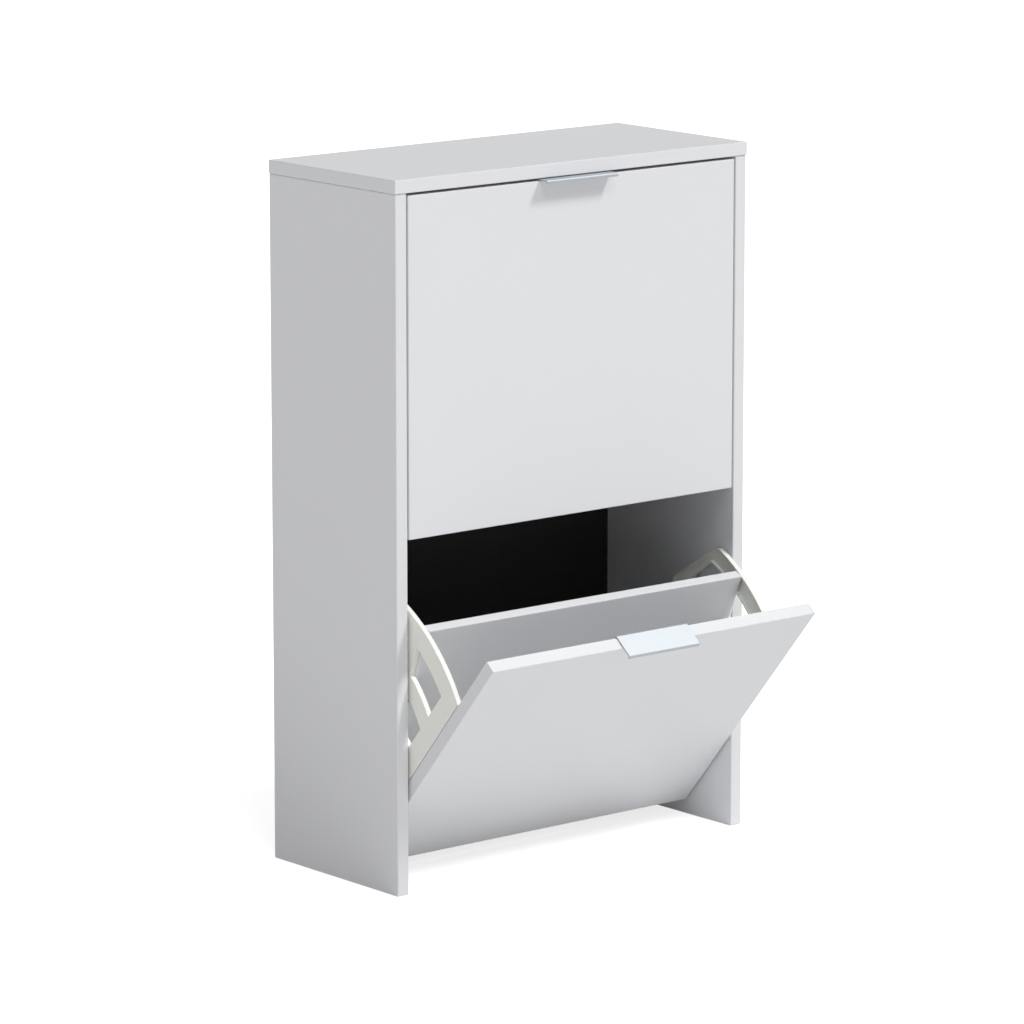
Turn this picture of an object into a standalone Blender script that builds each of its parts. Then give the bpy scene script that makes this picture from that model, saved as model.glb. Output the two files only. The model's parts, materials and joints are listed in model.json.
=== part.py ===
"""Tilt-out shoe cabinet: a narrow board carcass with two flaps that swing on plastic side brackets.

Metres, +Z up, +X to the right, the front faces -Y. The upper flap is shut and the lower one is
open on its stops, which is the rest pose. The origin is the bottom centre of that pose's box.
"""
import math

import bmesh
import bpy
from mathutils import Matrix, Vector

# ---- Carcass ----
WIDTH = 0.500
DEPTH = 0.220
HEIGHT = 0.780
BOARD = 0.015            # sides, top, rails and flap fronts
OVERHANG = 0.001         # the top board stands this far past the sides and the front
BACK_THICKNESS = 0.003
REBATE_WIDTH = 0.008     # step behind each side that takes the back
FIT = 0.0003             # air between pieces that touch
EDGE = 0.0009            # rounding of the edge banding
BACK_EDGE = 0.0002
RAIL_HEIGHT = 0.060
LOWER_RAIL_BOTTOM = 0.030

# ---- Flaps ----
SIDE_GAP = 0.0025        # flap to side board
TOP_GAP = 0.003          # upper flap to top board
UPPER_FLAP_HEIGHT = 0.371
LOWER_FLAP_HEIGHT = 0.332
FLAP_REVEAL = 0.0135     # between the flaps, where the upper one's bottom edge dips as it swings
PIVOT_IN = 0.060         # pivot behind the flap's inner face
PIVOT_UP = 0.087         # pivot above the flap's bottom edge
OPEN_ANGLE = math.radians(40.3)

# ---- Pocket boards, in flap coordinates: behind the inner face, above the bottom edge ----
DIVIDER_THICKNESS = 0.012
DIVIDER_EDGE = 0.0006
MIDDLE_TOP = (0.0937, 0.2741)
MIDDLE_LENGTH = 0.215
MIDDLE_LEAN = math.radians(17.0)
REAR_TOP = (0.150, 0.185)
REAR_LENGTH = 0.2077
REAR_LEAN = math.radians(33.6)
BASE_LOW = (0.0036, 0.008)
BASE_HIGH = (0.0285, 0.018)

# ---- Side bracket: concentric bands about one centre ----
PLATE = 0.006
SKIN = 0.003             # what is left of the plate between its ribs
LIP = 0.002
FAN_CENTRE = (0.0857, 0.0507)
RIM_RADIUS = 0.2241
RIM_INNER = 0.2020
BAND_OUTER = 0.1697
BAND_INNER = 0.1500
STRIP = 0.0248           # solid strip of the plate along the flap
PLATE_FRONT = 0.0008     # plate's front edge behind the flap's inner face
FOOT = 0.003             # plate's bottom above the flap's bottom edge
RIM_REAR = 0.137
REAR_CORNER = (0.166, 0.186)
REAR_FOOT = (0.0405, FOOT)
CORNER_ROUND = 0.008
HUB_RADIUS = 0.012
WEB = 0.002              # channel walls that hold the boards
WEB_SINK = 0.001         # how deep the walls start in the skin
BOARD_SLACK = 0.0004     # board to channel wall
MIDDLE_REAR_WEBS = ((0.003, 0.021), (0.058, 0.076), (0.150, 0.212))
MIDDLE_FRONT_WEB = (0.150, 0.212)
REAR_WEB = (0.012, 0.190)
BASE_WEB = (0.006, 0.0270)
FLANGE_THICKNESS = 0.003
FLANGE_LOW = 0.004
FLANGE_END = 0.250
FLANGE_REACH = 0.016

# ---- Pivot, stop and fasteners ----
PIN_RADIUS = 0.004
PIN_HEAD_RADIUS = 0.007
PIN_HEAD = 0.003
BUSH_RADIUS = 0.0057
BUSH_FLANGE_RADIUS = 0.008
BUSH_FLANGE = 0.001
SOCKET_DEPTH = 0.0103
STOP_RADIUS = 0.050      # stop peg from the pivot
STOP_ANGLE = math.radians(238.0)
DOWEL_RADIUS = 0.004
DOWEL_LENGTH = 0.0294
DOWEL_IN_THIN = 0.0097   # dowel's share in the board that it enters from the face
DOWEL_CHAMFER = 0.001
SCREW_SHANK = 0.00175
SCREW_HEAD = 0.0034
SCREW_TIP = 0.003
PILOT_DEPTH = 0.0112     # screw holes in the flap front
BRACKET_SCREW = 0.0140
BRACKET_SCREW_IN = 0.005     # screws stand this far inside the plate
BRACKET_SCREW_HEIGHTS = {"top": 0.240, "bottom": 0.040}
HANDLE_SCREW = 0.0128
PEG_COLLAR_RADIUS = 0.006
PIN_CHAMFER = 0.0008
PIN_END_GAP = 0.001
CUT_MARGIN = 0.002       # cutters run this far past the faces that they cut
ROUND_STEPS = 12
ARC_STEPS = 6

# ---- Wall anchor: a steel angle under the top, at the rear rail ----
ANCHOR_SHEET = 0.0015
ANCHOR_LEG = 0.030
ANCHOR_HALF = 0.022
ANCHOR_SCREW = 0.012
ANCHOR_SCREW_X = 0.013
ANCHOR_SCREW_IN = 0.018
ANCHOR_PILOT = 0.0107
WALL_HOLE_RADIUS = 0.003
WALL_HOLE_DROP = 0.019

# ---- Handle ----
HANDLE_LENGTH = 0.101
HANDLE_SHEET = 0.0016
HANDLE_REACH = 0.0134    # in front of the flap
HANDLE_LIP = 0.004
HANDLE_REAR = 0.0135     # leg down the flap's inner face
HANDLE_SCREW_X = 0.030
HANDLE_SCREW_DROP = 0.0080
HANDLE_CORNER = 0.0006

# ---- Places worked out from the sizes above ----
SIDE_OUTER = WIDTH / 2 - OVERHANG
SIDE_INNER = SIDE_OUTER - BOARD
FLAP_HALF = SIDE_INNER - SIDE_GAP
PLATE_OUTER = FLAP_HALF - 0.0002
PLATE_INNER = PLATE_OUTER - PLATE
BOARD_HALF = PLATE_INNER - FIT
TOP_UNDERSIDE = HEIGHT - BOARD
UPPER_FLAP_BOTTOM = TOP_UNDERSIDE - TOP_GAP - UPPER_FLAP_HEIGHT
LOWER_FLAP_BOTTOM = UPPER_FLAP_BOTTOM - FLAP_REVEAL - LOWER_FLAP_HEIGHT

# The open flap's handle is the frontmost point, so it sets where the box's middle lies.
HANDLE_TIP_Y = -BOARD - HANDLE_REACH - PIVOT_IN
HANDLE_TIP_Z = LOWER_FLAP_HEIGHT + FIT + HANDLE_SHEET - PIVOT_UP
OPEN_REACH = math.sin(OPEN_ANGLE) * HANDLE_TIP_Z - math.cos(OPEN_ANGLE) * HANDLE_TIP_Y
PIVOT_TO_BACK = DEPTH - OVERHANG - BOARD - PIVOT_IN
REAR_Y = (OPEN_REACH + PIVOT_TO_BACK) / 2
FRONT_Y = REAR_Y - DEPTH + OVERHANG
INNER_FACE_Y = FRONT_Y + BOARD
PIVOT_Y = INNER_FACE_Y + PIVOT_IN
BACK_Y = REAR_Y - BACK_THICKNESS
RAIL_Y = BACK_Y - FIT - BOARD / 2
ANCHOR_REAR = RAIL_Y - BOARD / 2 - FIT
ANCHOR_TOP = TOP_UNDERSIDE - FIT
ANCHOR_SCREW_Y = ANCHOR_REAR - ANCHOR_SCREW_IN
BRACKET_SCREW_X = PLATE_INNER - BRACKET_SCREW_IN
RAIL_MIDDLES = {
    "upper": TOP_UNDERSIDE - FIT - RAIL_HEIGHT / 2,
    "lower": LOWER_RAIL_BOTTOM + RAIL_HEIGHT / 2,
}
FLAPS = {
    "upper": (UPPER_FLAP_BOTTOM, UPPER_FLAP_HEIGHT, 0.0),
    "lower": (LOWER_FLAP_BOTTOM, LOWER_FLAP_HEIGHT, OPEN_ANGLE),
}
SIDES = {"left": -1, "right": 1}
DOWEL_PLACES = {"front": FRONT_Y + 0.045, "rear": REAR_Y - 0.060}
DOWEL_IN_END = DOWEL_LENGTH - DOWEL_IN_THIN
PANEL_MIDDLE = SIDE_INNER + BOARD / 2

# Local X, Y, Z of a flat outline become the object's Y, Z, X.
OUTLINE_TURN = Matrix(((0, 0, 1, 0), (1, 0, 0, 0), (0, 1, 0, 0), (0, 0, 0, 1)))


def clear_scene():
    for old in list(bpy.data.objects):
        bpy.data.objects.remove(old, do_unlink=True)


def collection(name):
    made = bpy.data.collections.new(name)
    bpy.context.scene.collection.children.link(made)
    return made


def material(name, colour, roughness, metallic=0.0):
    made = bpy.data.materials.new(name)
    made.use_nodes = True
    shader = made.node_tree.nodes["Principled BSDF"]
    shader.inputs["Base Color"].default_value = (*colour, 1.0)
    shader.inputs["Roughness"].default_value = roughness
    shader.inputs["Metallic"].default_value = metallic
    return made


clear_scene()
CABINET = collection("shoe_cabinet")
CUTTERS = collection("shoe_cabinet_cutters")
WHITE_BOARD = material("white_melamine", (0.83, 0.83, 0.84), 0.45)
DARK_BACK = material("dark_hardboard", (0.03, 0.03, 0.03), 0.80)
CREAM_PLASTIC = material("cream_plastic", (0.70, 0.70, 0.64), 0.50)
SATIN_ALUMINIUM = material("satin_aluminium", (0.78, 0.79, 0.80), 0.35, 1.0)
ZINC_STEEL = material("zinc_steel", (0.60, 0.60, 0.62), 0.35, 1.0)
GREY_NYLON = material("grey_nylon", (0.35, 0.35, 0.36), 0.55)
BEECH = material("beech_dowel", (0.62, 0.45, 0.28), 0.70)


# ---- Making tools ----
def keep(obj, finish, parent=None):
    """Put a finished piece in the cabinet with its material, under its flap's axis if it has one."""
    CABINET.objects.link(obj)
    obj.data.materials.append(finish)
    obj.parent = parent
    return obj


def hide_cutter(obj, parent=None):
    CUTTERS.objects.link(obj)
    obj.hide_render = True
    obj.display_type = "WIRE"
    obj.parent = parent
    return obj


def combine(obj, other, operation):
    boolean = obj.modifiers.new(operation.lower(), "BOOLEAN")
    boolean.operation = operation
    boolean.object = other


def box_object(name, low, high, turn=0.0):
    """A box from corner to corner, with its origin at its middle, turned about X."""
    low = Vector(low)
    high = Vector(high)
    mesh = bpy.data.meshes.new(name)
    shape = bmesh.new()
    bmesh.ops.create_cube(shape, size=1.0, matrix=Matrix.Diagonal((*(high - low), 1.0)))
    shape.to_mesh(mesh)
    shape.free()
    obj = bpy.data.objects.new(name, mesh)
    obj.location = (low + high) / 2
    obj.rotation_euler.x = turn
    return obj


def board(name, low, high, finish=None, parent=None, turn=0.0, edge=EDGE):
    obj = box_object(name, low, high, turn)
    bevel = obj.modifiers.new("edge_banding", "BEVEL")
    bevel.width = edge
    bevel.segments = 2
    return keep(obj, finish or WHITE_BOARD, parent)


def outline_object(name, loops, x_low, x_high):
    """Flat outlines in Y and Z, inner loops being holes, extruded along X into a welded mesh."""
    curve = bpy.data.curves.new(name, "CURVE")
    curve.dimensions = "2D"
    curve.fill_mode = "BOTH"
    curve.extrude = abs(x_high - x_low) / 2
    for loop in loops:
        spline = curve.splines.new("POLY")
        spline.points.add(len(loop) - 1)
        spline.use_cyclic_u = True
        for point, (y, z) in zip(spline.points, loop):
            point.co = (y, z, 0.0, 1.0)
    flat = bpy.data.objects.new(name + "_outline", curve)
    flat.matrix_world = Matrix.Translation(((x_low + x_high) / 2, 0.0, 0.0)) @ OUTLINE_TURN
    bpy.context.scene.collection.objects.link(flat)
    bpy.context.view_layer.update()
    mesh = bpy.data.meshes.new_from_object(flat.evaluated_get(bpy.context.evaluated_depsgraph_get()))
    mesh.name = name
    mesh.transform(flat.matrix_world)
    bpy.data.objects.remove(flat, do_unlink=True)
    shape = bmesh.new()
    shape.from_mesh(mesh)
    bmesh.ops.remove_doubles(shape, verts=shape.verts, dist=1e-6)
    bmesh.ops.recalc_face_normals(shape, faces=shape.faces)
    shape.to_mesh(mesh)
    shape.free()
    return bpy.data.objects.new(name, mesh)


def turned_object(name, profile, place, direction):
    """A profile of (radius, distance) points turned about an axis that leaves place along direction."""
    mesh = bpy.data.meshes.new(name)
    points = [(radius, 0.0, distance) for radius, distance in profile]
    mesh.from_pydata(points, [(i, i + 1) for i in range(len(points) - 1)], [])
    obj = bpy.data.objects.new(name, mesh)
    obj.location = place
    obj.rotation_mode = "QUATERNION"
    obj.rotation_quaternion = Vector(direction).to_track_quat("Z", "Y")
    screw = obj.modifiers.new("turn", "SCREW")
    screw.steps = ROUND_STEPS
    screw.render_steps = ROUND_STEPS
    screw.use_merge_vertices = True
    screw.merge_threshold = 1e-5
    return obj


def rod_profile(radius, length, chamfer=0.0):
    """A plain rod from 0 to length, listed from its far end down its outer side."""
    if chamfer:
        return [(0.0, length), (radius - chamfer, length), (radius, length - chamfer),
                (radius, chamfer), (radius - chamfer, 0.0), (0.0, 0.0)]
    return [(0.0, length), (radius, length), (radius, 0.0), (0.0, 0.0)]


def drill(obj, label, radius, depth, place, direction, parent=None):
    """Sink a round hole from place along direction, started a little outside the surface."""
    start = Vector(place) - Vector(direction) * radius
    drill_bit = turned_object(f"{obj.name}_{label}", rod_profile(radius, depth + radius), start, direction)
    hide_cutter(drill_bit, parent)
    combine(obj, drill_bit, "DIFFERENCE")


def screw_piece(name, place, direction, length, parent=None):
    """A pan-head screw whose head sits on place, with its shank along direction."""
    crown = SCREW_HEAD * 0.62
    profile = [(0.0, length), (SCREW_SHANK * 0.4, length), (SCREW_SHANK, length - SCREW_TIP),
               (SCREW_SHANK, 0.0), (SCREW_HEAD, 0.0), (SCREW_HEAD, -crown / 2),
               (SCREW_HEAD * 0.6, -crown), (0.0, -crown)]
    return keep(turned_object(name, profile, place, direction), ZINC_STEEL, parent)


# ---- Flat geometry ----
def arc(centre, radius, start, end, steps):
    turns = [start + (end - start) * i / steps for i in range(steps + 1)]
    return [(centre[0] + radius * math.cos(t), centre[1] + radius * math.sin(t)) for t in turns]


def angle_at(radius, across):
    """Angle on the fan's circle of this radius where it is this far behind the inner face."""
    return math.acos((across - FAN_CENTRE[0]) / radius)


def fillet(before, corner, after, radius, steps=4):
    """Points of the round that joins two straight edges at a corner."""
    corner = Vector(corner)
    first = (Vector(before) - corner).normalized()
    second = (Vector(after) - corner).normalized()
    half = first.angle(second) / 2
    centre = corner + (first + second).normalized() * radius / math.sin(half)
    start = corner + first * radius / math.tan(half) - centre
    end = corner + second * radius / math.tan(half) - centre
    sweep = start.angle_signed(end)
    turns = [Matrix.Rotation(-sweep * i / steps, 2) @ start for i in range(steps + 1)]
    return [tuple(centre + turn) for turn in turns]


def grown(loop, distance):
    """The loop moved outwards by distance, or inwards if it is negative."""
    points = [Vector(point) for point in loop]
    area = sum(a.x * b.y - b.x * a.y for a, b in zip(points, points[1:] + points[:1]))
    side = 1.0 if area > 0 else -1.0
    moved = []
    for before, point, after in zip(points[-1:] + points[:-1], points, points[1:] + points[:1]):
        into = (point - before).normalized()
        out = (after - point).normalized()
        first = Vector((into.y, -into.x)) * side
        second = Vector((out.y, -out.x)) * side
        middle = (first + second).normalized()
        moved.append(tuple(point + middle * distance / middle.dot(first)))
    return moved


def strip_along(top, lean, offset, start, end, width):
    """A thin rectangle beside a leaning board's middle line, from start to end down its length."""
    down = Vector((-math.sin(lean), -math.cos(lean)))
    across = Vector((math.cos(lean), -math.sin(lean)))
    origin = Vector(top)
    corners = ((start, offset - width / 2), (start, offset + width / 2),
               (end, offset + width / 2), (end, offset - width / 2))
    return [tuple(origin + down * along + across * aside) for along, aside in corners]


def rectangle(low, high):
    return [low, (high[0], low[1]), high, (low[0], high[1])]


def from_pivot(loop):
    return [(across - PIVOT_IN, up - PIVOT_UP) for across, up in loop]


# ---- Bracket outlines, in flap coordinates ----
def bracket_outline():
    rim = arc(FAN_CENTRE, RIM_RADIUS, angle_at(RIM_RADIUS, PLATE_FRONT),
              angle_at(RIM_RADIUS, RIM_REAR - CORNER_ROUND), 2 * ARC_STEPS)
    rim_end = (RIM_REAR, FAN_CENTRE[1] + RIM_RADIUS * math.sin(angle_at(RIM_RADIUS, RIM_REAR)))
    return [
        (PLATE_FRONT, FOOT),
        *rim,
        *fillet(rim[-1], rim_end, REAR_CORNER, CORNER_ROUND),
        *fillet(rim_end, REAR_CORNER, REAR_FOOT, CORNER_ROUND),
        REAR_FOOT,
    ]


def fan_arc(radius, span):
    """Points on one of the fan's circles from its front to its rear end."""
    return arc(FAN_CENTRE, radius, angle_at(radius, span[0]), angle_at(radius, span[1]), ARC_STEPS)


def bracket_windows():
    """Two windows under the rim and two under the middle band, with a spoke between each pair."""
    front_upper = fan_arc(RIM_INNER, (STRIP, 0.0869)) + fan_arc(BAND_OUTER, (0.0745, STRIP))
    rear_upper = fan_arc(RIM_INNER, (0.1035, 0.1335)) + fan_arc(BAND_OUTER, (0.144, 0.0925))
    front_lower = fan_arc(BAND_INNER, (STRIP, 0.0673)) + [(0.053, 0.158), (STRIP, 0.158)]
    rear_lower = fan_arc(BAND_INNER, (0.0840, 0.131)) + [(0.1155, 0.158), (0.068, 0.158)]
    return [front_upper, rear_upper, front_lower, rear_lower]


def stop_slot():
    """Slot for the fixed peg: its ends stop the flap shut and open."""
    pivot = (PIVOT_IN, PIVOT_UP)
    width = PIN_RADIUS + FIT
    low = STOP_ANGLE - OPEN_ANGLE
    outer = arc(pivot, STOP_RADIUS + width, low, STOP_ANGLE, ARC_STEPS)
    inner = arc(pivot, STOP_RADIUS - width, STOP_ANGLE, low, ARC_STEPS)
    far_end = arc(pivot_point(STOP_RADIUS, STOP_ANGLE), width, STOP_ANGLE, STOP_ANGLE + math.pi, ARC_STEPS)
    near_end = arc(pivot_point(STOP_RADIUS, low), width, low + math.pi, low + 2 * math.pi, ARC_STEPS)
    return outer + far_end[1:-1] + inner + near_end[1:-1]


def pivot_point(radius, angle):
    return (PIVOT_IN + radius * math.cos(angle), PIVOT_UP + radius * math.sin(angle))


def circle(centre, radius):
    return arc(centre, radius, 0.0, 2 * math.pi * (ROUND_STEPS - 1) / ROUND_STEPS, ROUND_STEPS - 1)


def channel_webs():
    """Rectangles of the flange on the flap and of the walls that hold the three boards."""
    offset = DIVIDER_THICKNESS / 2 + BOARD_SLACK + WEB / 2
    webs = [rectangle((FIT, FLANGE_LOW), (FIT + FLANGE_THICKNESS, FLANGE_END))]
    webs.append(strip_along(MIDDLE_TOP, MIDDLE_LEAN, -offset, *MIDDLE_FRONT_WEB, WEB))
    for start, end in MIDDLE_REAR_WEBS:
        webs.append(strip_along(MIDDLE_TOP, MIDDLE_LEAN, offset, start, end, WEB))
    for side in (-offset, offset):
        webs.append(strip_along(REAR_TOP, REAR_LEAN, side, *REAR_WEB, WEB))
    for low in (BASE_LOW[1] - BOARD_SLACK - WEB, BASE_HIGH[1] + BOARD_SLACK):
        webs.append(rectangle((BASE_WEB[0], low), (BASE_WEB[1], low + WEB)))
    return webs


# ---- Carcass pieces ----
def side_panel(side, sign):
    name = f"{side}_side_panel"
    inner = sign * SIDE_INNER
    low = (min(inner, sign * SIDE_OUTER), FRONT_Y, 0.0)
    high = (max(inner, sign * SIDE_OUTER), REAR_Y, TOP_UNDERSIDE - FIT)
    panel = board(name, low, high)
    step_ends = sorted((inner - sign * CUT_MARGIN, inner + sign * REBATE_WIDTH))
    step = box_object(f"{name}_rebate", (step_ends[0], BACK_Y - FIT, -CUT_MARGIN),
                      (step_ends[1], REAR_Y + CUT_MARGIN, HEIGHT))
    combine(panel, hide_cutter(step), "DIFFERENCE")
    for place, y in DOWEL_PLACES.items():
        drill(panel, f"{place}_dowel_hole", DOWEL_RADIUS + FIT, DOWEL_IN_END + 2 * FIT,
              (sign * PANEL_MIDDLE, y, TOP_UNDERSIDE - FIT), (0, 0, -1))
    outwards = (sign, 0, 0)
    for rail, z in RAIL_MIDDLES.items():
        drill(panel, f"{rail}_rail_hole", DOWEL_RADIUS + FIT, SOCKET_DEPTH, (inner, RAIL_Y, z), outwards)
    for flap, (bottom, _, _) in FLAPS.items():
        pivot = (inner, PIVOT_Y, bottom + PIVOT_UP)
        peg = (inner, *peg_place(bottom + PIVOT_UP))
        drill(panel, f"{flap}_bush_hole", BUSH_RADIUS + FIT, SOCKET_DEPTH, pivot, outwards)
        drill(panel, f"{flap}_peg_hole", PIN_RADIUS + FIT, SOCKET_DEPTH, peg, outwards)
    return panel


def peg_place(pivot_z):
    return (PIVOT_Y + STOP_RADIUS * math.cos(STOP_ANGLE), pivot_z + STOP_RADIUS * math.sin(STOP_ANGLE))


def top_panel():
    low = (-WIDTH / 2, FRONT_Y - OVERHANG, TOP_UNDERSIDE)
    panel = board("top_panel", low, (WIDTH / 2, REAR_Y, HEIGHT))
    for side, sign in SIDES.items():
        for place, y in DOWEL_PLACES.items():
            drill(panel, f"{side}_{place}_dowel_hole", DOWEL_RADIUS + FIT, DOWEL_IN_THIN + FIT,
                  (sign * PANEL_MIDDLE, y, TOP_UNDERSIDE), (0, 0, 1))
        drill(panel, f"{side}_anchor_hole", SCREW_SHANK + FIT, ANCHOR_PILOT,
              (sign * ANCHOR_SCREW_X, ANCHOR_SCREW_Y, TOP_UNDERSIDE), (0, 0, 1))
    return panel


def rear_rail(name, middle):
    half = SIDE_INNER - FIT
    rail = board(f"{name}_rear_rail", (-half, RAIL_Y - BOARD / 2, middle - RAIL_HEIGHT / 2),
                 (half, RAIL_Y + BOARD / 2, middle + RAIL_HEIGHT / 2))
    for side, sign in SIDES.items():
        drill(rail, f"{side}_dowel_hole", DOWEL_RADIUS + FIT, DOWEL_IN_END + 2 * FIT,
              (sign * half, RAIL_Y, middle), (-sign, 0, 0))
    return rail


def back_panel():
    half = SIDE_INNER + REBATE_WIDTH - FIT
    return board("back_panel", (-half, BACK_Y, LOWER_RAIL_BOTTOM), (half, REAR_Y, TOP_UNDERSIDE - FIT),
                 DARK_BACK, edge=BACK_EDGE)


def dowels():
    profile = rod_profile(DOWEL_RADIUS, DOWEL_LENGTH, DOWEL_CHAMFER)
    for side, sign in SIDES.items():
        for place, y in DOWEL_PLACES.items():
            start = (sign * PANEL_MIDDLE, y, TOP_UNDERSIDE - FIT - DOWEL_IN_END)
            keep(turned_object(f"top_dowel_{side}_{place}", profile, start, (0, 0, 1)), BEECH)
        for rail, z in RAIL_MIDDLES.items():
            start = (sign * (SIDE_INNER - FIT - DOWEL_IN_END), RAIL_Y, z)
            keep(turned_object(f"{rail}_rail_dowel_{side}", profile, start, (sign, 0, 0)), BEECH)


def wall_anchor():
    sheet = ANCHOR_SHEET
    reach = ANCHOR_LEG
    corners = [(0, 0), (-reach, 0), (-reach, -sheet), (-sheet, -sheet), (-sheet, -reach), (0, -reach)]
    loop = [(ANCHOR_REAR + y, ANCHOR_TOP + z) for y, z in corners]
    anchor = keep(outline_object("wall_anchor", [loop], -ANCHOR_HALF, ANCHOR_HALF), ZINC_STEEL)
    drill(anchor, "wall_screw_hole", WALL_HOLE_RADIUS, sheet + CUT_MARGIN,
          (0, ANCHOR_REAR - sheet, ANCHOR_TOP - WALL_HOLE_DROP), (0, 1, 0))
    for side, sign in SIDES.items():
        under = (sign * ANCHOR_SCREW_X, ANCHOR_SCREW_Y, ANCHOR_TOP - sheet)
        drill(anchor, f"{side}_screw_hole", SCREW_SHANK + FIT, sheet + CUT_MARGIN, under, (0, 0, 1))
        screw_piece(f"wall_anchor_screw_{side}", (under[0], under[1], under[2] - FIT), (0, 0, 1),
                    ANCHOR_SCREW)


# ---- Pivot fittings in the side boards ----
def pivot_bush(flap, side, sign, pivot_z):
    """Flanged bush pressed in the side board: its profile runs round the wall of the tube."""
    bore = PIN_RADIUS + FIT
    depth = SOCKET_DEPTH - FIT
    start = -(FIT + BUSH_FLANGE)
    profile = [(bore, depth), (BUSH_RADIUS, depth), (BUSH_RADIUS, -FIT), (BUSH_FLANGE_RADIUS, -FIT),
               (BUSH_FLANGE_RADIUS, start), (bore, start), (bore, depth)]
    place = (sign * SIDE_INNER, PIVOT_Y, pivot_z)
    return keep(turned_object(f"{flap}_pivot_bush_{side}", profile, place, (sign, 0, 0)), GREY_NYLON)


def stop_peg(flap, side, sign, pivot_z):
    depth = SOCKET_DEPTH - FIT
    reach = SIDE_INNER - PLATE_INNER - FIT
    collar = FIT + BUSH_FLANGE
    profile = [(0.0, depth), (PIN_RADIUS, depth), (PIN_RADIUS, -FIT), (PEG_COLLAR_RADIUS, -FIT),
               (PEG_COLLAR_RADIUS, -collar), (PIN_RADIUS, -collar), (PIN_RADIUS, -reach), (0.0, -reach)]
    place = (sign * SIDE_INNER, *peg_place(pivot_z))
    return keep(turned_object(f"{flap}_stop_peg_{side}", profile, place, (sign, 0, 0)), GREY_NYLON)


# ---- Flap assembly, modelled shut about its pivot axis ----
def flap_axis(flap, bottom, angle):
    axis = bpy.data.objects.new(f"{flap}_flap_axis", None)
    CABINET.objects.link(axis)
    axis.location = (0.0, PIVOT_Y, bottom + PIVOT_UP)
    axis.rotation_euler.x = angle
    return axis


def flap_front(flap, height, axis):
    front = board(f"{flap}_flap_front", (-FLAP_HALF, -BOARD - PIVOT_IN, -PIVOT_UP),
                  (FLAP_HALF, -PIVOT_IN, height - PIVOT_UP), parent=axis)
    for side, sign in SIDES.items():
        screws = {f"{side}_{place}": (BRACKET_SCREW_X, up) for place, up in BRACKET_SCREW_HEIGHTS.items()}
        screws[f"{side}_handle"] = (HANDLE_SCREW_X, height - HANDLE_SCREW_DROP)
        for label, (x, up) in screws.items():
            drill(front, f"{label}_screw_hole", SCREW_SHANK + FIT, PILOT_DEPTH,
                  (sign * x, -PIVOT_IN, up - PIVOT_UP), (0, -1, 0), axis)
    return front


def bracket(flap, side, sign, axis):
    """Moulded side plate: a thin skin with raised lips, windows, a hub and walls for the boards."""
    name = f"{flap}_{side}_bracket"
    hub = (PIVOT_IN, PIVOT_UP)
    outline = bracket_outline()
    openings = bracket_windows() + [stop_slot()]
    bore = circle(hub, PIN_RADIUS + FIT)
    plate_loops = [from_pivot(loop) for loop in (outline, *openings, bore)]
    plate = outline_object(name, plate_loops, sign * PLATE_OUTER, sign * PLATE_INNER)
    raised = [grown(loop, LIP) for loop in openings] + [circle(hub, HUB_RADIUS)]
    recess_loops = [from_pivot(loop) for loop in (grown(outline, -LIP), *raised)]
    recess = outline_object(f"{name}_recess", recess_loops, sign * (PLATE_OUTER - SKIN),
                            sign * (PLATE_INNER - CUT_MARGIN))
    combine(plate, hide_cutter(recess, axis), "DIFFERENCE")
    web_loops = [from_pivot(loop) for loop in channel_webs()]
    webs = outline_object(f"{name}_webs", web_loops, sign * (PLATE_OUTER - SKIN + WEB_SINK),
                          sign * (PLATE_OUTER - FLANGE_REACH))
    combine(plate, hide_cutter(webs, axis), "UNION")
    keep(plate, CREAM_PLASTIC, axis)
    for place, up in BRACKET_SCREW_HEIGHTS.items():
        rear_face = FIT + FLANGE_THICKNESS - PIVOT_IN
        at = (sign * BRACKET_SCREW_X, rear_face, up - PIVOT_UP)
        drill(plate, f"{place}_screw_hole", SCREW_SHANK + FIT, FLANGE_THICKNESS + CUT_MARGIN, at,
              (0, -1, 0), axis)
        screw_piece(f"{name}_screw_{place}", (at[0], at[1] + FIT, at[2]), (0, -1, 0), BRACKET_SCREW, axis)
    return plate


def pivot_pin(flap, side, sign, axis):
    """Headed pin pushed out through the bracket's hub into the bush."""
    head = PLATE_INNER - FIT
    length = SIDE_INNER + SOCKET_DEPTH - 2 * FIT - PIN_END_GAP - head
    profile = [(0.0, length), (PIN_RADIUS - PIN_CHAMFER, length), (PIN_RADIUS, length - PIN_CHAMFER),
               (PIN_RADIUS, 0.0), (PIN_HEAD_RADIUS, 0.0), (PIN_HEAD_RADIUS, PIN_CHAMFER - PIN_HEAD),
               (PIN_HEAD_RADIUS - PIN_CHAMFER, -PIN_HEAD), (0.0, -PIN_HEAD)]
    pin = turned_object(f"{flap}_pivot_pin_{side}", profile, (sign * head, 0.0, 0.0), (sign, 0, 0))
    return keep(pin, GREY_NYLON, axis)


def leaning_board(name, top, length, lean, axis):
    middle_y = top[0] - math.sin(lean) * length / 2 - PIVOT_IN
    middle_z = top[1] - math.cos(lean) * length / 2 - PIVOT_UP
    half = Vector((BOARD_HALF, DIVIDER_THICKNESS / 2, length / 2))
    middle = Vector((0.0, middle_y, middle_z))
    return board(name, middle - half, middle + half, parent=axis, turn=-lean, edge=DIVIDER_EDGE)


def base_strip(flap, axis):
    low = (-BOARD_HALF, BASE_LOW[0] - PIVOT_IN, BASE_LOW[1] - PIVOT_UP)
    high = (BOARD_HALF, BASE_HIGH[0] - PIVOT_IN, BASE_HIGH[1] - PIVOT_UP)
    return board(f"{flap}_pocket_base", low, high, parent=axis, edge=DIVIDER_EDGE)


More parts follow.
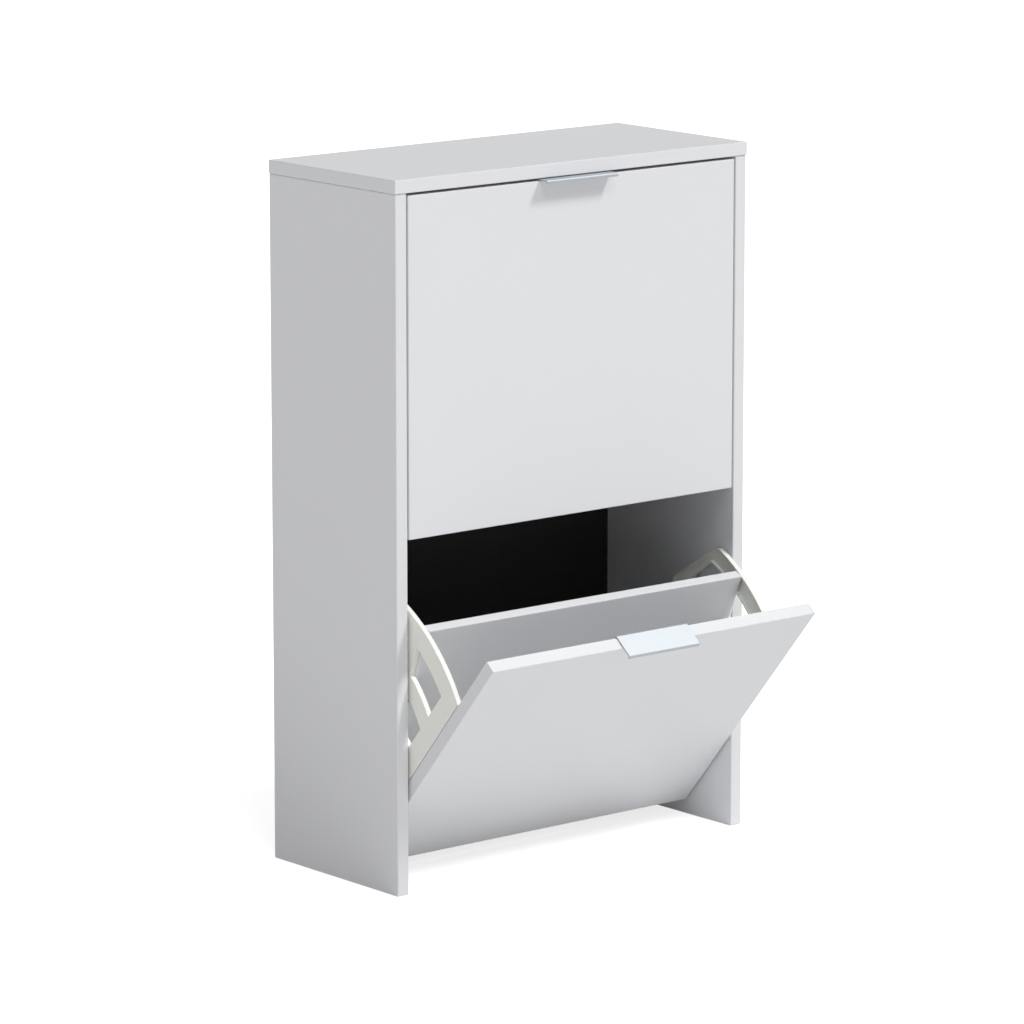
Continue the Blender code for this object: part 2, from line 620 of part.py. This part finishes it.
def handle(flap, height, axis):
    """Folded pull over the flap's top edge: rear leg, flat top, short lip in front."""
    sheet = HANDLE_SHEET
    corner = HANDLE_CORNER
    rear = FIT - PIVOT_IN
    front = -BOARD - HANDLE_REACH - PIVOT_IN
    under = height + FIT - PIVOT_UP
    top = under + sheet
    loop = [
        (rear, under - HANDLE_REAR), (rear + sheet, under - HANDLE_REAR), (rear + sheet, top - corner),
        (rear + sheet - corner, top), (front + corner, top), (front, top - corner),
        (front, top - HANDLE_LIP), (front + sheet, top - HANDLE_LIP), (front + sheet, under), (rear, under),
    ]
    pull = outline_object(f"{flap}_flap_handle", [loop], -HANDLE_LENGTH / 2, HANDLE_LENGTH / 2)
    keep(pull, SATIN_ALUMINIUM, axis)
    for side, sign in SIDES.items():
        at = (sign * HANDLE_SCREW_X, rear + sheet, height - HANDLE_SCREW_DROP - PIVOT_UP)
        drill(pull, f"{side}_screw_hole", SCREW_SHANK + FIT, sheet + CUT_MARGIN, at, (0, -1, 0), axis)
        screw_piece(f"{flap}_handle_screw_{side}", (at[0], at[1] + FIT, at[2]), (0, -1, 0),
                    HANDLE_SCREW, axis)
    return pull


def flap_assembly(flap, bottom, height, angle):
    axis = flap_axis(flap, bottom, angle)
    flap_front(flap, height, axis)
    leaning_board(f"{flap}_middle_divider", MIDDLE_TOP, MIDDLE_LENGTH, MIDDLE_LEAN, axis)
    leaning_board(f"{flap}_rear_divider", REAR_TOP, REAR_LENGTH, REAR_LEAN, axis)
    base_strip(flap, axis)
    handle(flap, height, axis)
    for side, sign in SIDES.items():
        bracket(flap, side, sign, axis)
        pivot_pin(flap, side, sign, axis)
        pivot_bush(flap, side, sign, bottom + PIVOT_UP)
        stop_peg(flap, side, sign, bottom + PIVOT_UP)


for side_name, side_sign in SIDES.items():
    side_panel(side_name, side_sign)
top_panel()
back_panel()
for rail_name, rail_middle in RAIL_MIDDLES.items():
    rear_rail(rail_name, rail_middle)
dowels()
wall_anchor()
for flap_name, (flap_bottom, flap_height, flap_angle) in FLAPS.items():
    flap_assembly(flap_name, flap_bottom, flap_height, flap_angle)
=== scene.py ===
"""Looks of the tilt-out shoe cabinet: finishes, moulded brackets, fittings, studio and camera."""

import json
import math

import bpy
from mathutils import Matrix, Vector


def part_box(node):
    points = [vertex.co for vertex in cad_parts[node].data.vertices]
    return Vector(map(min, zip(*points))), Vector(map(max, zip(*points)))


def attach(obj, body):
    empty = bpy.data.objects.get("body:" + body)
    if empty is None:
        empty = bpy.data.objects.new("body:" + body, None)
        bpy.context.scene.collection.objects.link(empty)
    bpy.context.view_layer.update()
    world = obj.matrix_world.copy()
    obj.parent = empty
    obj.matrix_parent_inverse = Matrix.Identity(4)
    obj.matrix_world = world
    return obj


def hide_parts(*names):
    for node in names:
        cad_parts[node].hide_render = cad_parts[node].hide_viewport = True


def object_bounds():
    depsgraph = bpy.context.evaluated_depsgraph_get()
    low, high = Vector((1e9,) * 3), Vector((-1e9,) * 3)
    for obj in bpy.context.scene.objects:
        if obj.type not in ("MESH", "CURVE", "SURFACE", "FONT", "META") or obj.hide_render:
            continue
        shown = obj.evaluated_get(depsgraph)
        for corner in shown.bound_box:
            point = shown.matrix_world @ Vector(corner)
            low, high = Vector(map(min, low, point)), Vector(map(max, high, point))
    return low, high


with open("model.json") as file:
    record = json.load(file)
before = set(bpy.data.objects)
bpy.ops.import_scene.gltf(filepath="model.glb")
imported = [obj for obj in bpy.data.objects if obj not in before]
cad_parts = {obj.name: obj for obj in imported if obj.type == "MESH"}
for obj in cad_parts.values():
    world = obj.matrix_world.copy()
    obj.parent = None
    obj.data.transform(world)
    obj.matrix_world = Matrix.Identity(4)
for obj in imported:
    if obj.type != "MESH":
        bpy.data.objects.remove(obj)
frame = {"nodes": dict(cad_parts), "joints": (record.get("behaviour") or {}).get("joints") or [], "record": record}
NODES = frame["nodes"]
CAD_LOW, CAD_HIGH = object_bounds()
SCENE = bpy.context.scene

# ---- Finishes: tone, roughness, grain size, grain depth (m), then the changes over the surface ----
FINISH_VALUES = {
    "white_board": ("white_melamine", (0.80, 0.805, 0.825), 0.42, 1400.0, 0.00003, 0.02, 0.06, 0.0),
    # The back board's near-black tone is painted shade: it stands in for the deep, unlit interior, not the board's
    # own colour.
    "dark_back": ("dark_hardboard", (0.022, 0.020, 0.019), 0.72, 420.0, 0.00012, 0.5, 0.12, 0.0),
    "cream_plastic": ("cream_plastic", (0.92, 0.93, 0.87), 0.46, 2200.0, 0.00003, 0.03, 0.06, 0.0),
    "satin_aluminium": ("satin_aluminium", (0.595, 0.63, 0.66), 0.64, 1600.0, 0.000006, 0.02, 0.05, 1.0),
    "zinc_steel": ("zinc_steel", (0.55, 0.56, 0.58), 0.34, 1800.0, 0.00001, 0.1, 0.15, 1.0),
    "grey_nylon": ("grey_nylon", (0.12, 0.12, 0.125), 0.5, 2000.0, 0.00003, 0.06, 0.06, 0.0),
    "beech": ("beech_dowel", (0.50, 0.33, 0.18), 0.7, 300.0, 0.0001, 0.25, 0.06, 0.0),
}
CLOUD_SIZE = 9.0            # tone patches to the metre
GRAIN_DETAIL = 3.0
CLOUD_DETAIL = 4.0
NOISE_MIDDLE = 0.5

# ---- Mesh work ----
SMOOTH_ANGLE = 35.0
WELD = 0.00002
FLAT_ANGLE = 1.0            # faces within this angle are one flat face

# ---- Moulded brackets: rounded arrises on every rib and window ----
MOULD_ROUND = 0.00045
MOULD_SEGMENTS = 2
MOULD_ANGLE = 30.0
MOULD_SMOOTH_ANGLE = 40.0

# ---- Folded handles ----
SHEET = 0.0016
HANDLE_LIP = 0.004
BEND = 0.0020
BEND_SEGMENTS = 6
SHEET_ROUND = 0.00025
SHEET_SEGMENTS = 2
SHEET_ANGLE = 50.0
EDGE_NEAR = 0.0001          # an edge this near to a border is on it

# ---- Turned fittings ----
TURN_STEPS = 40
SPIN_WELD = 0.000005
SHANK = 0.00175
CORE = SHANK * 0.72         # bottom of the thread
POINT = SHANK * 0.4
POINT_LENGTH = 0.0004
THREADS = 7
THREAD_START = 0.0025       # above the tip
PLAIN_SHANK = 0.001         # between the thread and the head
THREAD_CREST = 0.45         # crest's place in each turn
SCREW_HEAD = 0.0034
CROWN = SCREW_HEAD * 0.62
HEAD_CURVE = ((1.0, 1.0), (1.0, 0.72), (0.93, 0.36), (0.78, 0.12), (0.55, 0.0))
RECESS_REACH = 0.0019
RECESS_HALF = 0.00042
RECESS_DEPTH = 0.0011
RECESS_ABOVE = 0.001
SCREW_TWIST = 37.0          # each screw stands a little further round than the last
LENGTH_DIGITS = 5
PIN_RADIUS = 0.004
PIN_HEAD_RADIUS = 0.007
PIN_HEAD = 0.003
PIN_ROUND = 0.0008
PIN_ROUND_SHARE = 0.3       # middle of the rounding
DISH_RIM = PIN_RADIUS * 0.8
DISH_FLOOR = PIN_RADIUS * 0.6

# ---- Studio ----
FLOOR_SIZE = 120.0
FLOOR_DROP = 0.0005
FLOOR_TONE = (0.86, 0.86, 0.86, 1.0)
FLOOR_ROUGH = 0.9
FLOOR_GLOW = 0.06
BACKDROP_GLOW = 0.72
SKY_WHITE = (1.0, 1.0, 1.0, 1.0)
SKY_LIGHT = 0.34
SKY_SEEN = 1.0
LAMPS = (                   # name, direction that it shines from, strength, spread in degrees
    ("key_light", (0.42, -0.45, 0.79), 1.86, 12.0),
    ("left_light", (-0.28, -0.53, 0.80), 0.42, 18.0),
    ("front_light", (0.05, -0.99, 0.12), 0.06, 80.0),
)
AZIMUTH = math.radians(-39.76)
ELEVATION = math.radians(11.18)
DISTANCE = 6.2142
AIM_X, AIM_Z = 0.0019, 0.3758
LENS = 196.8
SENSOR = 36.0
CLIP_END = 200.0


# ---- Small tools ----
def deselect():
    bpy.ops.object.select_all(action="DESELECT")


def node_link(tree, source, target):
    tree.links.new(source, target)


def new_material(name, rough, metal=0.0):
    made = bpy.data.materials.new(name)
    made.use_nodes = True
    shader = made.node_tree.nodes["Principled BSDF"]
    shader.inputs["Roughness"].default_value = rough
    shader.inputs["Metallic"].default_value = metal
    return made, made.node_tree, shader


# ---- Shared effects ----
def fine_grain_group():
    """Mottled tone and gloss, and a fine pitted height, on Object coordinates."""
    tree = bpy.data.node_groups.new("fine_grain", "ShaderNodeTree")
    face = tree.interface
    face.new_socket("Tone", in_out="INPUT", socket_type="NodeSocketColor")
    for label in ("Grain Size", "Cloud Size", "Tone Change", "Roughness", "Roughness Change"):
        face.new_socket(label, in_out="INPUT", socket_type="NodeSocketFloat")
    face.new_socket("Color", in_out="OUTPUT", socket_type="NodeSocketColor")
    for label in ("Roughness", "Height"):
        face.new_socket(label, in_out="OUTPUT", socket_type="NodeSocketFloat")
    inlet = tree.nodes.new("NodeGroupInput")
    outlet = tree.nodes.new("NodeGroupOutput")
    place = tree.nodes.new("ShaderNodeTexCoord")
    grain = tree.nodes.new("ShaderNodeTexNoise")
    clouds = tree.nodes.new("ShaderNodeTexNoise")
    for noise, label, detail in ((grain, "Grain Size", GRAIN_DETAIL),
                                 (clouds, "Cloud Size", CLOUD_DETAIL)):
        noise.inputs["Detail"].default_value = detail
        node_link(tree, place.outputs["Object"], noise.inputs["Vector"])
        node_link(tree, inlet.outputs[label], noise.inputs["Scale"])
    shift = tree.nodes.new("ShaderNodeMath")
    shift.operation = "SUBTRACT"
    shift.inputs[1].default_value = NOISE_MIDDLE
    node_link(tree, clouds.outputs["Fac"], shift.inputs[0])
    swing = tree.nodes.new("ShaderNodeMath")
    swing.operation = "MULTIPLY_ADD"
    swing.inputs[2].default_value = 1.0
    node_link(tree, shift.outputs[0], swing.inputs[0])
    node_link(tree, inlet.outputs["Tone Change"], swing.inputs[1])
    tint = tree.nodes.new("ShaderNodeVectorMath")
    tint.operation = "SCALE"
    node_link(tree, inlet.outputs["Tone"], tint.inputs[0])
    node_link(tree, swing.outputs[0], tint.inputs["Scale"])
    node_link(tree, tint.outputs["Vector"], outlet.inputs["Color"])
    rough = tree.nodes.new("ShaderNodeMath")
    rough.operation = "MULTIPLY_ADD"
    node_link(tree, shift.outputs[0], rough.inputs[0])
    node_link(tree, inlet.outputs["Roughness Change"], rough.inputs[1])
    node_link(tree, inlet.outputs["Roughness"], rough.inputs[2])
    node_link(tree, rough.outputs[0], outlet.inputs["Roughness"])
    node_link(tree, grain.outputs["Fac"], outlet.inputs["Height"])
    return tree


FINE_GRAIN = fine_grain_group()


def grained_material(name, tone, rough, grain_size, depth, tone_change, rough_change, metal):
    """A finish whose tone, gloss and surface come from the fine-grain effect."""
    made, tree, shader = new_material(name, rough, metal)
    grain = tree.nodes.new("ShaderNodeGroup")
    grain.node_tree = FINE_GRAIN
    grain.inputs["Tone"].default_value = (*tone, 1.0)
    grain.inputs["Grain Size"].default_value = grain_size
    grain.inputs["Cloud Size"].default_value = CLOUD_SIZE
    grain.inputs["Tone Change"].default_value = tone_change
    grain.inputs["Roughness"].default_value = rough
    grain.inputs["Roughness Change"].default_value = rough_change
    bump = tree.nodes.new("ShaderNodeBump")
    bump.inputs["Distance"].default_value = depth
    bump.inputs["Strength"].default_value = 1.0
    node_link(tree, grain.outputs["Color"], shader.inputs["Base Color"])
    node_link(tree, grain.outputs["Roughness"], shader.inputs["Roughness"])
    node_link(tree, grain.outputs["Height"], bump.inputs["Height"])
    node_link(tree, bump.outputs["Normal"], shader.inputs["Normal"])
    return made


FINISHES = {slot: grained_material(*values) for slot, values in FINISH_VALUES.items()}
SLOT_OF = {row["node"]: row["material_slot"] for row in frame["record"]["subparts"]}
for label, node in NODES.items():
    node.data.materials.clear()
    node.data.materials.append(FINISHES[SLOT_OF[label]])


# ---- Placing new pieces ----
class Flap:
    """One flap with its hinge line, and the turn between its shut place and its resting place."""

    def __init__(self, name):
        joint = next(j for j in frame["joints"] if j["child"] == name + "_flap")
        self.name = name
        self.body = name + "_flap"
        pivot = Matrix.Translation(Vector(joint["pos_m"]))
        shut_turn = Matrix.Rotation(math.radians(joint["range_deg"][0]), 4, "X")
        self.to_shut = pivot @ shut_turn @ pivot.inverted()
        self.to_rest = self.to_shut.inverted()

    def shut_box(self, node):
        """Lowest and highest corners of a node as if the flap were shut."""
        points = [self.to_shut @ vert.co for vert in NODES[node].data.vertices]
        low = Vector(min(point[i] for point in points) for i in range(3))
        high = Vector(max(point[i] for point in points) for i in range(3))
        return low, high


FLAPS = [Flap("upper"), Flap("lower")]


def settle(obj, name, finish, node, body, move=None):
    """Bake the place of a finished piece, give it its finish, and let it stand for its node."""
    obj.name = name
    obj.data.name = name
    deselect()
    obj.select_set(True)
    bpy.context.view_layer.objects.active = obj
    bpy.ops.object.transform_apply(location=True, rotation=True, scale=True)
    if move is not None:
        obj.data.transform(move)
    obj.data.materials.clear()
    obj.data.materials.append(FINISHES[finish])
    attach(obj, body)
    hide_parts(node)


def apply_modifiers(obj):
    bpy.context.view_layer.objects.active = obj
    for modifier in list(obj.modifiers):
        bpy.ops.object.modifier_apply(modifier=modifier.name)


def pick(test, kind="edges"):
    """Select the edges, faces or vertices of the piece in edit mode whose middles pass a test."""
    bpy.ops.mesh.select_all(action="DESELECT")
    bpy.ops.object.mode_set(mode="OBJECT")
    mesh = bpy.context.object.data
    for part in getattr(mesh, kind):
        corners = [part.co] if kind == "vertices" else [mesh.vertices[i].co for i in part.vertices]
        part.select = test(sum(corners, Vector()) / len(corners))
    bpy.ops.object.mode_set(mode="EDIT")


def smooth(obj, degrees=SMOOTH_ANGLE):
    deselect()
    obj.select_set(True)
    bpy.context.view_layer.objects.active = obj
    bpy.ops.object.shade_smooth_by_angle(angle=math.radians(degrees))
    flat_faces = obj.modifiers.new("flat_faces", "WEIGHTED_NORMAL")
    flat_faces.keep_sharp = True
    apply_modifiers(obj)


def round_edges(obj, width, segments, degrees):
    bevel = obj.modifiers.new("rounding", "BEVEL")
    bevel.width = width
    bevel.segments = segments
    bevel.limit_method = "ANGLE"
    bevel.angle_limit = math.radians(degrees)


def merged_copy(node):
    """A welded copy of a node's mesh with its flat faces joined up."""
    copy = bpy.data.objects.new(node + "_copy", NODES[node].data.copy())
    SCENE.collection.objects.link(copy)
    deselect()
    copy.select_set(True)
    bpy.context.view_layer.objects.active = copy
    bpy.ops.object.mode_set(mode="EDIT")
    bpy.ops.mesh.select_all(action="SELECT")
    bpy.ops.mesh.remove_doubles(threshold=WELD)
    bpy.ops.mesh.dissolve_limited(angle_limit=math.radians(FLAT_ANGLE))
    bpy.ops.object.mode_set(mode="OBJECT")
    return copy


# ---- Pieces that stand for CAD nodes ----
def moulded_bracket(flap, side):
    node = f"{flap.name}_{side}_bracket"
    piece = merged_copy(node)
    round_edges(piece, MOULD_ROUND, MOULD_SEGMENTS, MOULD_ANGLE)
    apply_modifiers(piece)
    smooth(piece, MOULD_SMOOTH_ANGLE)
    settle(piece, f"moulded_{node}", "cream_plastic", node, flap.body)


def folded_handle(flap):
    """A plane with the lip and the rear leg pulled down from its edges, then thickened."""
    node = f"{flap.name}_flap_handle"
    low, high = flap.shut_box(node)
    middle = ((low.x + high.x) / 2, (low.y + high.y) / 2, high.z)
    deselect()
    bpy.ops.mesh.primitive_plane_add(size=1.0, location=middle)
    piece = bpy.context.object
    piece.scale = (high.x - low.x, high.y - low.y, 1.0)
    bpy.ops.object.transform_apply(location=True, rotation=True, scale=True)
    bpy.ops.object.mode_set(mode="EDIT")
    pick(lambda c: c.y < low.y + EDGE_NEAR)
    bpy.ops.mesh.extrude_edges_move(TRANSFORM_OT_translate={"value": (0.0, 0.0, -HANDLE_LIP)})
    pick(lambda c: c.y > high.y - EDGE_NEAR and c.z > high.z - EDGE_NEAR)
    bpy.ops.mesh.extrude_edges_move(TRANSFORM_OT_translate={"value": (0.0, 0.0, low.z - high.z)})
    pick(lambda c: c.z > high.z - EDGE_NEAR
         and (c.y < low.y + EDGE_NEAR or c.y > high.y - EDGE_NEAR))
    bpy.ops.mesh.bevel(offset=BEND, segments=BEND_SEGMENTS, affect="EDGES")
    bpy.ops.mesh.select_all(action="SELECT")
    bpy.ops.mesh.normals_make_consistent(inside=False)
    bpy.ops.object.mode_set(mode="OBJECT")
    if max(piece.data.polygons, key=lambda face: face.area).normal.z < 0.0:
        piece.data.flip_normals()
    wall = piece.modifiers.new("sheet", "SOLIDIFY")
    wall.thickness = SHEET
    wall.offset = -1.0
    wall.use_even_offset = True
    round_edges(piece, SHEET_ROUND, SHEET_SEGMENTS, SHEET_ANGLE)
    apply_modifiers(piece)
    smooth(piece)
    settle(piece, f"folded_{flap.name}_handle", "satin_aluminium", node, flap.body, flap.to_rest)


def spun(profile):
    """A closed round shape from (radius, height) points, spun about Z at the origin."""
    mesh = bpy.data.meshes.new("spun")
    mesh.from_pydata([(radius, 0.0, height) for radius, height in profile],
                     [(i, i + 1) for i in range(len(profile) - 1)], [])
    piece = bpy.data.objects.new("spun", mesh)
    SCENE.collection.objects.link(piece)
    deselect()
    piece.select_set(True)
    bpy.context.view_layer.objects.active = piece
    bpy.ops.object.mode_set(mode="EDIT")
    bpy.ops.mesh.select_all(action="SELECT")
    bpy.ops.mesh.spin(steps=TURN_STEPS, angle=2 * math.pi, center=(0.0, 0.0, 0.0), axis=(0.0, 0.0, 1.0))
    bpy.ops.mesh.select_all(action="SELECT")
    bpy.ops.mesh.remove_doubles(threshold=SPIN_WELD)
    bpy.ops.mesh.normals_make_consistent(inside=False)
    bpy.ops.object.mode_set(mode="OBJECT")
    return piece


def cut(piece, low, high):
    """Take a box out of a piece."""
    deselect()
    middle = [(a + b) / 2 for a, b in zip(low, high)]
    bpy.ops.mesh.primitive_cube_add(size=1.0, location=middle)
    cutter = bpy.context.object
    cutter.scale = [b - a for a, b in zip(low, high)]
    difference = piece.modifiers.new("recess", "BOOLEAN")
    difference.operation = "DIFFERENCE"
    difference.object = cutter
    apply_modifiers(piece)
    bpy.data.objects.remove(cutter, do_unlink=True)


def screw_shape(length):
    """Pan-head screw with a cross recess: its head's top is at the origin and its tip at -length."""
    start = THREAD_START - length
    pitch = (length - CROWN - THREAD_START - PLAIN_SHANK) / THREADS
    profile = [(0.0, -length), (POINT, POINT_LENGTH - length)]
    for turn in range(THREADS):
        profile += [(CORE, start + pitch * turn), (SHANK, start + pitch * (turn + THREAD_CREST))]
    profile += [(CORE, start + pitch * THREADS), (SHANK, -CROWN)]
    profile += [(SCREW_HEAD * across, -CROWN * down) for across, down in HEAD_CURVE]
    profile.append((0.0, 0.0))
    piece = spun(profile)
    for x, y in ((RECESS_REACH, RECESS_HALF), (RECESS_HALF, RECESS_REACH)):
        cut(piece, (-x, -y, -RECESS_DEPTH), (x, y, RECESS_ABOVE))
    smooth(piece)
    return piece


def stand(shape, place, direction, twist=0.0):
    """A copy of a shape with its own mesh, its +Z pointing along direction."""
    copy = bpy.data.objects.new(shape.name + "_copy", shape.data.copy())
    SCENE.collection.objects.link(copy)
    turn = Vector(direction).to_track_quat("Z", "Y").to_matrix().to_4x4()
    copy.data.transform(Matrix.Translation(place) @ turn @ Matrix.Rotation(twist, 4, "Z"))
    return copy


def fit_screws():
    lengths = {}
    for number, node in enumerate(sorted(name for name in NODES if "_screw_" in name)):
        flap = next((f for f in FLAPS if node.startswith(f.name + "_")), None)
        low, high = flap.shut_box(node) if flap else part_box(node)
        axis = 1 if flap else 2
        length = round(high[axis] - low[axis], LENGTH_DIGITS)
        if length not in lengths:
            lengths[length] = screw_shape(length)
        middle = (low + high) / 2
        place = Vector((middle.x, high.y, middle.z)) if flap else Vector((middle.x, middle.y, low.z))
        outwards = (0, 1, 0) if flap else (0, 0, -1)
        piece = stand(lengths[length], place, outwards, math.radians(SCREW_TWIST * number))
        settle(piece, f"cross_{node}", "zinc_steel", node, flap.body if flap else "carcass",
               flap.to_rest if flap else None)
    for shape in lengths.values():
        bpy.data.objects.remove(shape, do_unlink=True)


def fit_pins():
    """Pivot pins with a rolled head, a shallow dish in it and a chamfered end."""
    for flap in FLAPS:
        for side, sign in (("left", -1), ("right", 1)):
            node = f"{flap.name}_pivot_pin_{side}"
            low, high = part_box(node)
            length = high.x - low.x
            profile = [
                (0.0, length), (PIN_RADIUS - PIN_ROUND, length), (PIN_RADIUS, length - PIN_ROUND),
                (PIN_RADIUS, PIN_HEAD), (PIN_HEAD_RADIUS, PIN_HEAD), (PIN_HEAD_RADIUS, PIN_ROUND),
                (PIN_HEAD_RADIUS - PIN_ROUND * PIN_ROUND_SHARE, PIN_ROUND * PIN_ROUND_SHARE),
                (PIN_HEAD_RADIUS - PIN_ROUND, 0.0), (DISH_RIM, 0.0), (DISH_FLOOR, PIN_ROUND),
                (0.0, PIN_ROUND),
            ]
            shape = spun(profile)
            smooth(shape)
            middle = (low + high) / 2
            inner_end = Vector((low.x if sign > 0 else high.x, middle.y, middle.z))
            piece = stand(shape, inner_end, (sign, 0, 0))
            bpy.data.objects.remove(shape, do_unlink=True)
            settle(piece, f"turned_{node}", "grey_nylon", node, flap.body)


for made_flap in FLAPS:
    folded_handle(made_flap)
    for made_side in ("left", "right"):
        moulded_bracket(made_flap, made_side)
fit_screws()
fit_pins()


# ---- Floor, light and camera ----
def glow_for_camera(tree, lit, seen, target):
    """One value for light that bounces, another for what the camera sees directly."""
    path = tree.nodes.new("ShaderNodeLightPath")
    glow = tree.nodes.new("ShaderNodeMapRange")
    glow.inputs["To Min"].default_value = lit
    glow.inputs["To Max"].default_value = seen
    node_link(tree, path.outputs["Is Camera Ray"], glow.inputs["Value"])
    node_link(tree, glow.outputs["Result"], target)


def studio_floor():
    deselect()
    bpy.ops.mesh.primitive_plane_add(size=FLOOR_SIZE, location=(0.0, 0.0, CAD_LOW.z - FLOOR_DROP))
    floor = bpy.context.object
    floor.name = "studio_floor"
    made, tree, shader = new_material("studio_white", FLOOR_ROUGH)
    shader.inputs["Base Color"].default_value = FLOOR_TONE
    shader.inputs["Specular IOR Level"].default_value = 0.0
    shader.inputs["Emission Strength"].default_value = 1.0
    glow_for_camera(tree, FLOOR_GLOW, BACKDROP_GLOW, shader.inputs["Emission Color"])
    floor.data.materials.append(made)


def sky():
    world = bpy.data.worlds.new("studio_sky")
    SCENE.world = world
    world.use_nodes = True
    background = world.node_tree.nodes["Background"]
    background.inputs["Color"].default_value = SKY_WHITE
    glow_for_camera(world.node_tree, SKY_LIGHT, SKY_SEEN, background.inputs["Strength"])


def sun(name, direction, strength, spread):
    """A soft lamp that shines from this direction."""
    lamp = bpy.data.lights.new(name, "SUN")
    lamp.energy = strength
    lamp.angle = math.radians(spread)
    obj = bpy.data.objects.new(name, lamp)
    SCENE.collection.objects.link(obj)
    obj.rotation_mode = "QUATERNION"
    obj.rotation_quaternion = Vector(direction).to_track_quat("Z", "Y")


def camera():
    top_low, top_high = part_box("top_panel")
    target = Vector((AIM_X, (top_low.y + top_high.y) / 2, AIM_Z))
    level = math.cos(ELEVATION)
    back = Vector((math.sin(AZIMUTH) * level, -math.cos(AZIMUTH) * level, math.sin(ELEVATION)))
    lens = bpy.data.cameras.new("camera")
    lens.lens = LENS
    lens.sensor_width = SENSOR
    lens.clip_end = CLIP_END
    obj = bpy.data.objects.new("camera", lens)
    SCENE.collection.objects.link(obj)
    obj.location = target + back * DISTANCE
    obj.rotation_mode = "QUATERNION"
    obj.rotation_quaternion = back.to_track_quat("Z", "Y")
    SCENE.camera = obj


studio_floor()
sky()
for lamp_values in LAMPS:
    sun(*lamp_values)
camera()
SCENE.view_settings.view_transform = "Standard"
